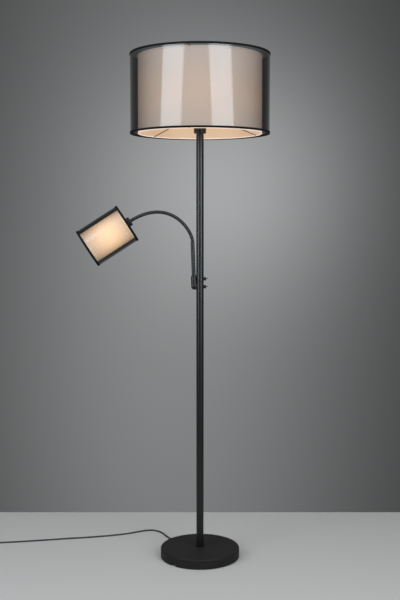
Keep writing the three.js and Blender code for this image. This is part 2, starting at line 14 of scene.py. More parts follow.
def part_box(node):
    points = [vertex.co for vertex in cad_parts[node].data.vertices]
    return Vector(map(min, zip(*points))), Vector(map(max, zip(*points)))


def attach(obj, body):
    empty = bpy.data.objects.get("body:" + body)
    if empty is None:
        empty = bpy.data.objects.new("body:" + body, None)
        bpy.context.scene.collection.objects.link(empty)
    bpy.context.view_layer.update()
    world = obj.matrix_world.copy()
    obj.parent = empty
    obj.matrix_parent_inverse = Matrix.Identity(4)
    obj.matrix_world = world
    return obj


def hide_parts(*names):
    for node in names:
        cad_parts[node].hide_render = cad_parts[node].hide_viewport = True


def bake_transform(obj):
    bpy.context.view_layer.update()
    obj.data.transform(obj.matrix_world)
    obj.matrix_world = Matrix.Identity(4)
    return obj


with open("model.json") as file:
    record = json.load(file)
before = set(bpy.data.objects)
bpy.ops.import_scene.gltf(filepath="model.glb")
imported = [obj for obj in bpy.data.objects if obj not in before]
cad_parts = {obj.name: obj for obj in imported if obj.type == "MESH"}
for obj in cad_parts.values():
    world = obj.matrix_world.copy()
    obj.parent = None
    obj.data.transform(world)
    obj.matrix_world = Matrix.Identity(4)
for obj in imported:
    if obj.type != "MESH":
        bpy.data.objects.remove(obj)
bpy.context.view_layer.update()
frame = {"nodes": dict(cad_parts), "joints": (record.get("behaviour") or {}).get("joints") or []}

MM = 0.001
TURN = 2 * math.pi
GAP = 0.3 * MM  # clearance that the CAD keeps between touching pieces

# ---- Dimensions that the boxes of the CAD nodes don't give ----

CORD_RADIUS = 2.5 * MM
CORD_REST = 2.6 * MM  # height of the cord's centre where it lies on the floor
# Where the cord lies, from the strain relief to the coil, as in the CAD.
CORD_ROUTE = [
    (-0.0825, 0.1222, 0.0064),
    (-0.090, 0.1345, 0.0056),
    (-0.0985, 0.1505, 0.0042),
    (-0.1095, 0.175, 0.0029),
    (-0.1215, 0.2005, 0.0026),
    (-0.131, 0.214, 0.0026),
    (-0.1435, 0.225, 0.0026),
    (-0.160, 0.2305, 0.0026),
    (-0.180, 0.227, 0.0026),
    (-0.201, 0.216, 0.0026),
    (-0.238, 0.196, 0.0026),
    (-0.290, 0.178, 0.0026),
    (-0.360, 0.161, 0.0026),
    (-0.430, 0.148, 0.0026),
    (-0.500, 0.1335, 0.0026),
    (-0.570, 0.120, 0.0026),
    (-0.630, 0.1108, 0.0026),
    (-0.660, 0.107, 0.0026),
    (-0.684, 0.1063, 0.0026),
]
CORD_EXIT = Vector(CORD_ROUTE[0])
CORD_END = [
    (-0.7223, 0.068, 0.0076),
    (-0.723, 0.059, 0.0075),
    (-0.724, 0.049, 0.0072),
    (-0.724, 0.039, 0.0072),
]
COIL_RADII = [33 * MM, 28 * MM, 23 * MM]  # the turns of one layer, from the outside in
COIL_POINTS = 16  # points on each turn

NECK_RADIUS = 5 * MM
NECK_RISE = 33 * MM  # handles of the neck's curve at the sleeve and at the head
NECK_REACH = 141 * MM
NECK_END = 7 * MM  # how far behind the small shade the neck ends
SLEEVE_RADIUS = 5.75 * MM
SLEEVE_LENGTH = 123 * MM
SPARE_NOTCH = math.radians(-132.6)  # where the base's second, unused notch is

ARM_WIRE = 1.1 * MM  # radius of the shade frames' arms
SPIDER = [math.radians(a) for a in (21, 141, 261)]  # the large frame's arms
HEAD_ARMS = [math.radians(a) for a in (0, 120, 240)]
LARGE_TAPE = 6 * MM
HEAD_TRIM = 5 * MM
HEAD_TAPE = 7 * MM  # the tape, with the part that laps over the organza
HEAD_OUTER, HEAD_INNER = 59.1 * MM, 47 * MM  # radii of the small shade's two drums

GLOW_HEIGHT = 1.37  # where the large shade's painted glow is strongest
HEAD_GLOW = 66 * MM  # where the small shade's painted glow is strongest, along its axis
BULB_GLOW = 2.0
WALL_DISTANCE = 0.43  # from the pole to the backdrop
CAMERA_PLACE = (0, -2.80, 1.018)
CAMERA_TILT = math.radians(85.17)  # from straight down
CAMERA_LENS, CAMERA_SENSOR = 56.67, 36  # millimetres


def centre(node):
    low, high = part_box(node)
    return (low + high) / 2


def frame_along(origin, axis):
    """A matrix whose Z runs along axis from origin, and whose Y stays as close to the world's Y as it can. An
    axis along the world's Y has no such frame: the matrix is flat then."""
    z = Vector(axis).normalized()
    x = Vector((0, 1, 0)).cross(z).normalized()
    y = z.cross(x)
    return Matrix.Translation(origin) @ Matrix((x, y, z)).transposed().to_4x4()


def joint(name):
    return next(j for j in frame["joints"] if j["name"] == name)


# ---- Mesh helpers ----


def add_to_scene(name, data):
    made = bpy.data.objects.new(name, data)
    bpy.context.scene.collection.objects.link(made)
    return made


def mesh_from(name, bm):
    """The mesh that bm holds, its faces turned outwards. bm is used up."""
    bmesh.ops.recalc_face_normals(bm, faces=bm.faces)
    mesh = bpy.data.meshes.new(name)
    bm.to_mesh(mesh)
    bm.free()
    return mesh


def bake(piece):
    """Applies the piece's modifiers to its mesh."""
    bpy.context.view_layer.update()
    graph = bpy.context.evaluated_depsgraph_get()
    mesh = bpy.data.meshes.new_from_object(piece.evaluated_get(graph))
    piece.modifiers.clear()
    piece.data = mesh


def weigh_normals(piece):
    """Lets the large faces beside a rounded corner decide how the corner is shaded."""
    step = piece.modifiers.new("weigh", "WEIGHTED_NORMAL")
    step.mode = "FACE_AREA"
    step.keep_sharp = True
    bake(piece)


def finish_mesh(name, bm, material, body, matrix=None, sharp=40):
    """Makes a piece out of bm, smooth apart from edges sharper than sharp degrees. Without a body, the
    piece is not attached here."""
    mesh = mesh_from(name, bm)
    mesh.shade_smooth()
    mesh.set_sharp_from_angle(angle=math.radians(sharp))
    mesh.materials.append(material)
    piece = add_to_scene(name, mesh)
    if matrix is not None:
        piece.matrix_world = matrix
    if body:
        weigh_normals(piece)
        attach(piece, body)
    return piece


def polar(radius, angle, height):
    return Vector((radius * math.cos(angle), radius * math.sin(angle), height))


def around(count):
    return [TURN * i / count for i in range(count)]


def bridge(bm, first, second):
    """Faces between two rings of vertices, where a ring of one vertex is a point."""
    count = max(len(first), len(second))
    for i in range(count):
        j = (i + 1) % count
        if len(first) == 1:
            bm.faces.new((first[0], second[j], second[i]))
        elif len(second) == 1:
            bm.faces.new((first[i], first[j], second[0]))
        else:
            bm.faces.new((first[i], first[j], second[j], second[i]))


def join_rings(bm, rings, capped=False):
    """Faces from each ring to the next, and over both ends of the row if it is capped."""
    for first, second in zip(rings, rings[1:]):
        bridge(bm, first, second)
    if capped:
        bm.faces.new(reversed(rings[0]))
        bm.faces.new(rings[-1])


def add_lathe(bm, outline, segments, ripple=None):
    """Turns (radius, height) points about Z. ripple(angle, radius) may change a point's radius."""
    closed = outline[0] == outline[-1]
    rings = []
    for radius, height in outline[:-1] if closed else outline:
        if radius < 1e-7:
            rings.append([bm.verts.new((0, 0, height))])
            continue
        ring = []
        for angle in around(segments):
            reach = ripple(angle, radius) if ripple else radius
            ring.append(bm.verts.new(polar(reach, angle, height)))
        rings.append(ring)
    join_rings(bm, rings + rings[:1] if closed else rings)


def grip_ribs(count, depth, beyond):
    """A ripple of count grooves round a ring, on what lies further out than beyond."""

    def ripple(angle, radius):
        return radius - depth * (0.5 + 0.5 * math.cos(count * angle)) if radius > beyond else radius

    return ripple


def rounded(outline, radius, steps=3):
    """The outline with its corners rounded, apart from those on the axis and the ends of an open outline."""
    closed = outline[0] == outline[-1]
    corners = [Vector(p) for p in (outline[:-1] if closed else outline)]
    count = len(corners)
    points = []
    for i, corner in enumerate(corners):
        if (not closed and i in (0, count - 1)) or corner.x < 1e-7:
            points.append(tuple(corner))
            continue
        back = corners[i - 1] - corner
        ahead = corners[(i + 1) % count] - corner
        reach = min(radius, back.length * 0.45, ahead.length * 0.45)
        start = corner + back.normalized() * reach
        end = corner + ahead.normalized() * reach
        for k in range(steps + 1):
            t = k / steps
            bent = start * (1 - t) ** 2 + corner * 2 * t * (1 - t) + end * t * t
            points.append(tuple(bent))
    if closed:
        points.append(points[0])
    return points


def ring_outline(outer, inner, bottom, top, rounding, steps=3):
    """The section of a ring or a tube, with rounded corners."""
    corners = [(inner, bottom), (outer, bottom), (outer, top), (inner, top), (inner, bottom)]
    return rounded(corners, rounding, steps)


def arc(x, y, radius, first, last, steps):
    """The points of an arc round (x, y), from the angle first to the angle last."""
    angles = [first + (last - first) * i / steps for i in range(steps + 1)]
    return [(x + radius * math.cos(angle), y + radius * math.sin(angle)) for angle in angles]


def lathe(name, stands_for, outline, material, body, slot, segments=96, matrix=None, ripple=None, sharp=40):
    """A turned piece, which stands for the CAD node stands_for unless that is None."""
    bm = bmesh.new()
    add_lathe(bm, outline, segments, ripple)
    piece = finish_mesh(name, bm, material, body, matrix, sharp)
    if stands_for:
        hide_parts(stands_for)
    return piece


def add_tube(bm, points, radius, sides=10, closed=False):
    """A round tube along points, with flat ends unless it closes on itself."""
    points = [Vector(p) for p in points]
    count = len(points)
    across = None
    rings = []
    for i, point in enumerate(points):
        before = points[i - 1] if closed or i > 0 else point
        after = points[(i + 1) % count] if closed or i < count - 1 else point
        along = (after - before).normalized()
        if across is None:
            across = along.orthogonal().normalized()
        across = (across - along * across.dot(along)).normalized()
        other = along.cross(across)
        ring = []
        for angle in around(sides):
            spoke = across * math.cos(angle) + other * math.sin(angle)
            ring.append(bm.verts.new(point + spoke * radius))
        rings.append(ring)
    join_rings(bm, rings, capped=not closed)
    if closed:
        bridge_nearest(bm, rings[-1], rings[0])


def bridge_nearest(bm, last, first):
    """Closes a ring-shaped tube whose section has turned on its way round."""
    count = len(first)
    shift = min(range(count), key=lambda s: (first[s].co - last[0].co).length)
    bridge(bm, last, first[shift:] + first[:shift])


def add_wire_ring(bm, radius, height, wire):
    add_tube(bm, [polar(radius, angle, height) for angle in around(96)], wire, closed=True)


# ---- Camera ----


def make_camera():
    camera = add_to_scene("camera", bpy.data.cameras.new("camera"))
    camera.data.lens = CAMERA_LENS
    camera.data.sensor_width = CAMERA_SENSOR
    camera.location = CAMERA_PLACE
    camera.rotation_euler = (CAMERA_TILT, 0, 0)
    bpy.context.scene.camera = camera


make_camera()
bpy.context.scene.view_settings.view_transform = "Standard"

# ---- Materials ----


def node(tree, kind, inputs=None, **settings):
    made = tree.nodes.new(kind)
    for key, value in settings.items():
        setattr(made, key, value)
    for key, value in (inputs or {}).items():
        if isinstance(value, bpy.types.NodeSocket):
            tree.links.new(value, made.inputs[key])
        else:
            made.inputs[key].default_value = value
    return made


def math_node(tree, operation, a, b=0.0):
    return node(tree, "ShaderNodeMath", {0: a, 1: b}, operation=operation).outputs[0]


def times(tree, a, b):
    return math_node(tree, "MULTIPLY", a, b)


def grey(value):
    return (value, value, value)


def principled(name, color, roughness, **sockets):
    """A material of one Principled shader. Returns it, its node tree and its shader."""
    material = bpy.data.materials.new(name)
    material.use_nodes = True
    tree = material.node_tree
    shader = tree.nodes["Principled BSDF"]
    shader.inputs["Base Color"].default_value = (*color, 1)
    shader.inputs["Roughness"].default_value = roughness
    for key, value in sockets.items():
        shader.inputs[key.replace("_", " ")].default_value = value
    return material, tree, shader


def feed(shader, socket, value):
    shader.id_data.links.new(value, shader.inputs[socket])


def object_coordinates(tree):
    return node(tree, "ShaderNodeTexCoord").outputs["Object"]


def noise(tree, scale, detail=2.0, roughness=0.5, coordinates=None):
    place = coordinates or object_coordinates(tree)
    inputs = {"Vector": place, "Scale": scale, "Detail": detail, "Roughness": roughness}
    return node(tree, "ShaderNodeTexNoise", inputs).outputs["Fac"]


def ramp(tree, value, low, high):
    """Maps value from 0..1 to low..high."""
    inputs = {"Value": value, "To Min": low, "To Max": high}
    return node(tree, "ShaderNodeMapRange", inputs).outputs["Result"]


def tint(tree, value, dark, light):
    factor, first, second, result = 0, 6, 7, 2  # sockets of a Mix node that mixes colours
    inputs = {factor: value, first: (*dark, 1), second: (*light, 1)}
    return node(tree, "ShaderNodeMix", inputs, data_type="RGBA").outputs[result]


def bump(shader, height, distance, strength=1.0):
    inputs = {"Height": height, "Distance": distance, "Strength": strength}
    feed(shader, "Normal", node(shader.id_data, "ShaderNodeBump", inputs).outputs["Normal"])


def vary(shader, value, dark, light, smooth, rough):
    """Lets value move the colour from dark to light and the roughness from smooth to rough."""
    feed(shader, "Base Color", tint(shader.id_data, value, dark, light))
    feed(shader, "Roughness", ramp(shader.id_data, value, smooth, rough))


def coated_metal(name, color, roughness, gloss, grain, depth):
    """Paint on metal: a fine grain in the surface, and slow changes of tone and gloss."""
    material, tree, shader = principled(name, color, roughness, Specular_IOR_Level=gloss)
    slow = noise(tree, 18, 3)
    fine = noise(tree, grain, 3, 0.6)
    lighter = tuple(c * 1.35 + 0.001 for c in color)
    vary(shader, slow, color, lighter, roughness - 0.05, roughness + 0.07)
    bump(shader, fine, depth)
    return material


def bare_metal(name, color, roughness, grain):
    material, tree, shader = principled(name, color, roughness, Metallic=1.0)
    fine = noise(tree, grain, 4, 0.6)
    darker = tuple(c * 0.75 for c in color)
    vary(shader, fine, darker, color, roughness - 0.08, roughness + 0.12)
    bump(shader, fine, 0.05 * MM)
    return material


def moulded_plastic(name, color, roughness, grain=1600, depth=0.04 * MM):
    material, tree, shader = principled(name, color, roughness)
    fine = noise(tree, grain, 2)
    slow = noise(tree, 60, 2)
    lighter = tuple(c * 1.5 + 0.003 for c in color)
    vary(shader, slow, color, lighter, roughness - 0.04, roughness + 0.06)
    bump(shader, fine, depth)
    return material


def round_coordinates(tree, radius):
    """Length round the Z axis at radius, and height, both in metres."""
    axes = node(tree, "ShaderNodeSeparateXYZ", {0: object_coordinates(tree)})
    angle = math_node(tree, "ARCTAN2", axes.outputs["Y"], axes.outputs["X"])
    return times(tree, angle, radius), axes.outputs["Z"]


def weave(tree, radius, pitch):
    """Plain weave on a drum: the height of the threads, from 0 to 1."""
    girth, up = round_coordinates(tree, radius)
    warp = math_node(tree, "SINE", times(tree, girth, TURN / pitch))
    weft = math_node(tree, "SINE", times(tree, up, TURN / pitch))
    crossed = times(tree, warp, weft)
    return node(tree, "ShaderNodeMapRange", {"Value": crossed, "From Min": -1.0}).outputs["Result"]


def organza(name, radius, roughness, gloss, closing):
    """Sheer black cloth with a gloss: open between its threads, and closing up where it is seen aslant."""
    material, tree, shader = principled(name, (0.010, 0.009, 0.009), roughness, Specular_IOR_Level=gloss)
    pattern = weave(tree, radius, 0.7 * MM)
    slow = noise(tree, 14, 2)
    open_share = math_node(tree, "ADD", ramp(tree, pattern, 0.54, 0.46), ramp(tree, slow, -0.02, 0.02))
    aslant = node(tree, "ShaderNodeLayerWeight", {"Blend": closing}).outputs["Facing"]
    threads_passed = math_node(tree, "DIVIDE", 1.0, math_node(tree, "SUBTRACT", 1.02, aslant))
    see_through = math_node(tree, "POWER", open_share, threads_passed)
    feed(shader, "Alpha", math_node(tree, "SUBTRACT", 1.0, see_through))
    bump(shader, pattern, 0.005 * MM, 0.2)
    return material


def glow_profile(tree, middle, half):
    """How strong the painted glow on the drum is, which stands in for the bulb's light: 1 at the bulb's
    height, less towards both ends.
    """
    up = node(tree, "ShaderNodeSeparateXYZ", {0: object_coordinates(tree)}).outputs["Z"]
    away = math_node(tree, "DIVIDE", math_node(tree, "SUBTRACT", up, middle), half)
    square = times(tree, away, away)
    return math_node(tree, "DIVIDE", 1.0, math_node(tree, "ADD", 1.0, square))


def slubbed(tree, radius):
    """Uneven threads that run round a drum, from 0 to 1."""
    girth, up = round_coordinates(tree, radius)
    drawn_out = node(tree, "ShaderNodeCombineXYZ", {"X": times(tree, girth, 0.15), "Y": up})
    return noise(tree, 500, 3, 0.7, drawn_out.outputs[0])


def shade_cloth(name, radius, middle, half, strength, warm, pale):
    """Cream cloth on a film: woven, with slubs, and with a painted glow that stands in for the bulb's light
    shining through it, strongest beside the bulb. The painted glow has the colour warm there, and pale far
    from it."""
    material, tree, shader = principled(name, (0.62, 0.59, 0.56), 0.85)
    pattern = weave(tree, radius, 0.9 * MM)
    slubs = slubbed(tree, radius)
    feed(shader, "Base Color", tint(tree, slubs, (0.58, 0.55, 0.52), (0.64, 0.61, 0.58)))
    # Painted glow: emission that stands in for the bulb's light through the cloth, which is no lamp.
    glow = glow_profile(tree, middle, half)
    feed(shader, "Emission Color", tint(tree, glow, pale, warm))
    uneven = times(tree, glow, ramp(tree, slubs, 0.985, 1.015))
    feed(shader, "Emission Strength", times(tree, uneven, strength))
    height = math_node(tree, "ADD", pattern, times(tree, slubs, 0.6))
    bump(shader, height, 0.05 * MM, 0.5)
    return material


def shade_lining(name, middle, half, strength):
    """The smooth white film inside the cloth, with a base colour darker than white, and a painted warm glow
    that stands in for the bulb's light on it.
    """
    # Painted glow: emission that stands in for the bulb's warm light on the film.
    light = (1.0, 0.60, 0.32, 1)
    material, tree, shader = principled(name, (0.31, 0.27, 0.22), 0.5, Emission_Color=light)
    cloud = noise(tree, 30, 3)
    feed(shader, "Base Color", tint(tree, cloud, (0.29, 0.25, 0.20), (0.33, 0.29, 0.24)))
    glow = times(tree, glow_profile(tree, middle, half), strength)
    uneven = times(tree, glow, ramp(tree, cloud, 0.96, 1.04))
    feed(shader, "Emission Strength", uneven)
    return material


def line_inside(drum, lining):
    """Gives the side of the drum that faces its axis its own material."""
    drum.data.materials.append(lining)
    for face in drum.data.polygons:
        if face.normal.xy.dot(face.center.xy) < 0:
            face.material_index = 1


def tape_cloth(name, radius):
    """Black binding tape: fine ribs across its width."""
    material, tree, shader = principled(name, grey(0.004), 0.8, Specular_IOR_Level=0.1)
    pattern = weave(tree, radius, 0.8 * MM)
    feed(shader, "Base Color", tint(tree, pattern, grey(0.002), grey(0.007)))
    bump(shader, pattern, 0.1 * MM, 0.7)
    return material


def felt_cloth(name):
    material, tree, shader = principled(name, grey(0.02), 1.0)
    fuzz = noise(tree, 900, 5, 0.75)
    feed(shader, "Base Color", tint(tree, fuzz, grey(0.008), grey(0.04)))
    bump(shader, fuzz, 0.5 * MM)
    return material


def lit_glass(name, strength):
    """Opal glass of a bulb that is lit, a little cloudy."""
    light = (1.0, 0.78, 0.52, 1)
    material, tree, shader = principled(name, (1.0, 0.95, 0.86), 0.25, Emission_Color=light)
    cloud = noise(tree, 35, 2)
    feed(shader, "Emission Strength", ramp(tree, cloud, strength * 0.85, strength * 1.1))
    return material


BASE_PAINT = coated_metal("base_powder_coat", (0.009, 0.0082, 0.0075), 0.58, 0.16, 1100, 0.06 * MM)
LACQUER = coated_metal("pole_lacquer", grey(0.002), 0.33, 0.38, 350, 0.002 * MM)
NECK_LACQUER = coated_metal("neck_lacquer", grey(0.003), 0.32, 0.35, 500, 0.01 * MM)
WIRE_PAINT = coated_metal("frame_lacquer", grey(0.006), 0.6, 0.12, 500, 0.02 * MM)
IRON = bare_metal("raw_iron", (0.16, 0.155, 0.15), 0.7, 260)
STEEL = bare_metal("zinc_steel", (0.62, 0.62, 0.60), 0.35, 700)
CAP_METAL = bare_metal("bulb_cap_metal", grey(0.78), 0.28, 900)
PIN_METAL = bare_metal("nickel", (0.75, 0.73, 0.70), 0.22, 1200)
PLASTIC = moulded_plastic("black_plastic", grey(0.012), 0.42)
PVC = moulded_plastic("cord_pvc", grey(0.010), 0.5, 900, 0.03 * MM)
FELT = felt_cloth("floor_felt")

# ---- Supply cord ----


def smooth_step(t):
    return t * t * (3 - 2 * t)


def coil_points():
    """Two layers of turns, wound inwards on the floor and back outwards on top, then off at the far side."""
    middle = centre("cord_coil")
    radii = COIL_RADII + COIL_RADII[::-1]
    rise = 2 * CORD_RADIUS
    shifting = 0.25  # share of a turn in which the cord moves over to the next one
    dip = 1.5 * MM  # how far it leans inwards while it climbs
    points = []
    for turn, radius in enumerate(radii):
        following = radii[min(turn + 1, len(radii) - 1)]
        layer = 0 if turn < len(COIL_RADII) else 1
        climbing = turn == len(COIL_RADII) - 1
        for i in range(COIL_POINTS):
            share = i / COIL_POINTS
            shift = smooth_step(max(0.0, (share - 1 + shifting) / shifting))
            reach = radius + (following - radius) * shift
            if turn == 0:
                arriving = CORD_ROUTE[-1][1] - middle.y - radius
                reach += arriving * (1 - smooth_step(min(1.0, share / shifting)))
            height = CORD_REST + rise * layer
            if climbing:
                height += rise * shift
                reach -= dip * math.sin(math.pi * shift)
            points.append(middle + polar(reach, TURN / 4 + TURN * share, height - middle.z))
    outer = COIL_RADII[0]
    off = middle.x - CORD_END[0][0]
    quarter = COIL_POINTS // 4
    for i in range(quarter):
        share = i / quarter
        reach = outer + (off - outer) * smooth_step(share)
        points.append(middle + polar(reach, TURN / 4 * (1 + share), CORD_REST + rise - middle.z))
    return points


def make_cord():
    route = [Vector(p) for p in CORD_ROUTE[:-1]] + coil_points() + [Vector(p) for p in CORD_END]
    data = bpy.data.curves.new("supply_cord", "CURVE")
    data.dimensions = "3D"
    data.bevel_depth = CORD_RADIUS
    data.bevel_resolution = 4
    data.resolution_u = 6
    data.use_fill_caps = True
    line = data.splines.new("BEZIER")
    line.bezier_points.add(len(route) - 1)
    for point, place in zip(line.bezier_points, route):
        point.co = place
        point.handle_left_type = "AUTO"
        point.handle_right_type = "AUTO"
    data.materials.append(PVC)
    cord = add_to_scene("supply_cord", data)
    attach(cord, "stand")
    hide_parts("power_cord", "cord_coil", "cord_end")
    return cord


def cord_side(node_name):
    """The middle of the node's box on the side that the cord comes from."""
    place = centre(node_name)
    place.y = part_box(node_name)[1].y
    return place


# The plug's half width at some distances from its tail.
PLUG_WIDTHS = [(12 * MM, 6 * MM), (20 * MM, 9 * MM), (32 * MM, 17.6 * MM), (50 * MM, 17.6 * MM)]


def plug_half_width(back):
    for (near, narrow), (far, wide) in zip(PLUG_WIDTHS, PLUG_WIDTHS[1:]):
        if back <= far:
            return narrow + (wide - narrow) * smooth_step((back - near) / (far - near))
    return PLUG_WIDTHS[-1][1]


def squared(value):
    """A sine or cosine, changed so that it draws a rounded rectangle and not a circle."""
    return math.copysign(abs(value) ** 0.55, value)


def make_plug():
    """A flat two-pin plug, with a ribbed tail where the cord goes in."""
    low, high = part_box("plug_body")
    tail = cord_side("plug_body")
    thick = (high.z - low.z) / 2
    neck, end = PLUG_WIDTHS[0][0], PLUG_WIDTHS[-1][0]
    stations, sides = 20, 32
    bm = bmesh.new()
    rings = []
    for i in range(stations + 1):
        back = neck + (end - neck) * i / stations
        round_end = min(1.0, (i + 0.6) / 2.5, (stations - i + 0.6) / 1.6) ** 0.4
        wide = plug_half_width(back) * round_end
        half = thick * (0.80 + 0.20 * min(1.0, i / 8)) * round_end
        ring = []
        for angle in around(sides):
            across = Vector((squared(math.cos(angle)) * wide, -back, squared(math.sin(angle)) * half))
            ring.append(bm.verts.new(tail + across))
        rings.append(ring)
    join_rings(bm, rings, capped=True)
    rib, groove = 2.1 * MM, 2.9 * MM  # length of a rib, and radius of the grooves between ribs
    for i in range(6):
        start = tail - Vector((0, 0.2 * MM + i * rib, 0))
        reach = (3.3 - 0.05 * i) * MM if i % 2 == 0 else groove
        add_tube(bm, [start, start - Vector((0, rib, 0))], reach, 20)
    body = finish_mesh("plug_shell", bm, PLASTIC, "stand", sharp=50)
    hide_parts("plug_body")
    return body


def make_pin(side):
    """A pin, and the sleeve that insulates its root. Known fault: the pin points along the world's Y, where
    frame_along is flat, so both come out as thin as a line."""
    node_name = f"plug_pin_{side}"
    low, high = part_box(node_name)
    length = high.y - low.y
    radius, covered = 2 * MM, 9 * MM
    matrix = frame_along(cord_side(node_name), (0, -1, 0))
    outline = [(0, 0), (radius, 0), (radius, length - 1.6 * MM), (1.2 * MM, length - 0.3 * MM), (0, length)]
    outline = rounded(outline, 0.6 * MM)
    pin = lathe(f"pin_{side}", node_name, outline, PIN_METAL, "stand", "pin_metal", 24, matrix)
    outer, rim = radius + 0.06 * MM, covered + 0.2 * MM
    outline = [(0, -GAP), (outer, -GAP), (outer, covered), (1.9 * MM, rim), (0, rim)]
    collar = lathe(f"pin_collar_{side}", None, outline, PLASTIC, "stand", "black_plastic", 24, matrix)
    return [pin, collar]


def make_strain_relief():
    """The tapered, ribbed sleeve that the cord leaves the base through."""
    start, shoulder, end = 108 * MM, 120 * MM, 147 * MM  # distances from the lamp's axis
    flange, groove, mouth = 4.2 * MM, 0.6 * MM, 3.1 * MM
    outward = Vector((CORD_EXIT.x, CORD_EXIT.y, 0)).normalized()
    matrix = frame_along(Vector((0, 0, CORD_EXIT.z)), outward)
    outline = [(0, start), (flange, start), (flange, shoulder)]
    ribs = 6
    rib = (end - shoulder) / ribs
    for i in range(ribs):
        begin = shoulder + rib * i
        reach = (4.1 - 0.9 * i / ribs) * MM
        outline += [(reach, begin + 0.1 * MM), (reach - 0.05 * MM, begin + rib * 0.62)]
        outline += [(reach - groove, begin + rib * 0.7), (reach - groove, begin + rib * 0.98)]
    outline += [(mouth, end), (0, end)]
    lathe("strain_relief", "cord_grommet", outline, PVC, "stand", "cord_pvc", 32, matrix)


cord = make_cord()
plug = make_plug()
pins = make_pin("left") + make_pin("right")
make_strain_relief()

# ---- Base ----


def notch_cutter(angle, width, height, reach):
    """A bar with rounded shoulders that points outwards, for a mouse-hole in the base's skirt."""
    bm = bmesh.new()
    corner = min(width * 0.45, height * 0.7)
    below, half_length = 10 * MM, 15 * MM
    side, up = width / 2 - corner, height - corner
    section = [(-width / 2, -below), (width / 2, -below)]
    section += arc(side, up, corner, 0, TURN / 4, 6)
    section += arc(-side, up, corner, TURN / 4, TURN / 2, 6)
    ends = []
    for along in (reach - half_length, reach + half_length):
        ends.append([bm.verts.new((along, y, z)) for y, z in section])
    join_rings(bm, ends, capped=True)
    cutter = add_to_scene("notch", mesh_from("notch", bm))
    cutter.matrix_world = Matrix.Rotation(angle, 4, "Z")
    return cutter


def carve(piece, cutters):
    """Cuts the cutters out of the piece, and removes them."""
    for cutter in cutters:
        step = piece.modifiers.new("carve", "BOOLEAN")
        step.operation = "DIFFERENCE"
        step.solver = "EXACT"
        step.object = cutter
    bake(piece)
    for cutter in cutters:
        bpy.data.objects.remove(cutter)


def make_base():
    low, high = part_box("base_cover")
    radius, skin, hole, edge = high.x, 1.2 * MM, 5.3 * MM, 3.5 * MM
    outline = [(radius - skin, low.z), (radius - 0.3 * MM, low.z), (radius, low.z + 0.4 * MM)]
    outline += arc(radius - edge, high.z - edge, edge, 0, TURN / 4, 8)
    outline += [(hole, high.z), (hole, high.z - skin), (radius - edge, high.z - skin)]
    outline += [(radius - skin, high.z - edge), (radius - skin, low.z)]
    cover = lathe("base_shell", None, outline, BASE_PAINT, None, "base_paint", 160)
    cord_notch = notch_cutter(math.atan2(CORD_EXIT.y, CORD_EXIT.x), 9.2 * MM, 11 * MM, radius)
    carve(cover, [cord_notch, notch_cutter(SPARE_NOTCH, 22 * MM, 6.5 * MM, radius)])
    weigh_normals(cover)
    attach(cover, "stand")
    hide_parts("base_cover")


make_base()

# ---- Pole ----


def make_pole():
    """Three tubes that all but meet at their seams."""
    closing = 0.45 * GAP
    for part in ("lower", "middle", "upper"):
        low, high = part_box(f"pole_{part}")
        bottom, top = low.z - closing, high.z + closing
        outline = ring_outline(high.x, high.x - 1 * MM, bottom, top, 0.08 * MM, 2)
        lathe(f"pole_tube_{part}", f"pole_{part}", outline, LACQUER, "stand", "pole_paint", 64)


make_pole()

# ---- Switches ----


def make_switch_body(level, matrix):
    """A small case inside the pole, and the bushing that sticks out of it."""
    node_name = f"switch_body_{level}"
    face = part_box(node_name)[1].x
    case, middle = (12 * MM, 8 * MM, 8.4 * MM), 4.4 * MM
    root, floor = 8.6 * MM, 12.8 * MM  # where the bushing starts, and how deep its bore goes
    outer, bore = 2.8 * MM, 2.05 * MM
    outline = [(0, floor), (bore, floor), (bore, face - 0.4 * MM), (2.3 * MM, face)]
    outline += [(outer, face), (outer, root), (0, root)]
    bm = bmesh.new()
    add_lathe(bm, rounded(outline, 0.15 * MM), 40)
    box = bmesh.ops.create_cube(bm, size=1)
    place = Matrix.Translation((0, 0, middle)) @ Matrix.Diagonal((*case, 1))
    bmesh.ops.transform(bm, matrix=place, verts=box["verts"])
    body = finish_mesh(f"switch_case_{level}", bm, PLASTIC, "stand", matrix)
    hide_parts(node_name)


def make_switch_nut(level, matrix):
    node_name = f"switch_nut_{level}"
    low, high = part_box(node_name)
    outline = ring_outline(5 * MM, 3.1 * MM, low.x, high.x, 0.5 * MM)
    knurl = grip_ribs(28, 0.22 * MM, 4 * MM)
    name = f"switch_ring_{level}"
    lathe(name, node_name, outline, LACQUER, "stand", "pole_paint", 168, matrix, knurl, 60)


def make_switch_lever(level, pivot):
    """A bat that swells towards its tip, on the ball that it tips about."""
    tilt = math.radians(12)
    ball, length = 1.7 * MM, 8 * MM
    outline = [(0, -ball)] + arc(0, 0, ball, math.radians(-75), math.radians(45), 8)
    outline += [(0.95 * MM, 2.6 * MM), (1.3 * MM, 6.3 * MM), (1.2 * MM, 7.2 * MM)]
    outline += [(0.75 * MM, 7.8 * MM), (0, length)]
    matrix = frame_along(pivot, (math.cos(tilt), 0, math.sin(tilt)))
    name, body = f"switch_bat_{level}", f"lever_{level}"
    lathe(name, f"switch_lever_{level}", outline, LACQUER, body, "pole_paint", 24, matrix, sharp=60)


def make_switch(level):
    pivot = Vector(joint(f"switch_{level}")["pos_m"])
    matrix = frame_along(Vector((0, 0, pivot.z)), (1, 0, 0))
    make_switch_body(level, matrix)
    make_switch_nut(level, matrix)
    make_switch_lever(level, pivot)


for level in ("upper", "lower"):
    make_switch(level)

# ---- Arm bracket ----

ARM_AXIS = Vector(joint("arm_swivel")["axis"]).normalized()
SLEEVE_CENTRE = centre("arm_sleeve")


def plain_cylinder(name, radius, start, end):
    bm = bmesh.new()
    add_tube(bm, [start, end], radius, 64)
    return add_to_scene(name, mesh_from(name, bm))


def arm_point(height):
    return SLEEVE_CENTRE + ARM_AXIS * ((height - SLEEVE_CENTRE.z) / ARM_AXIS.z)


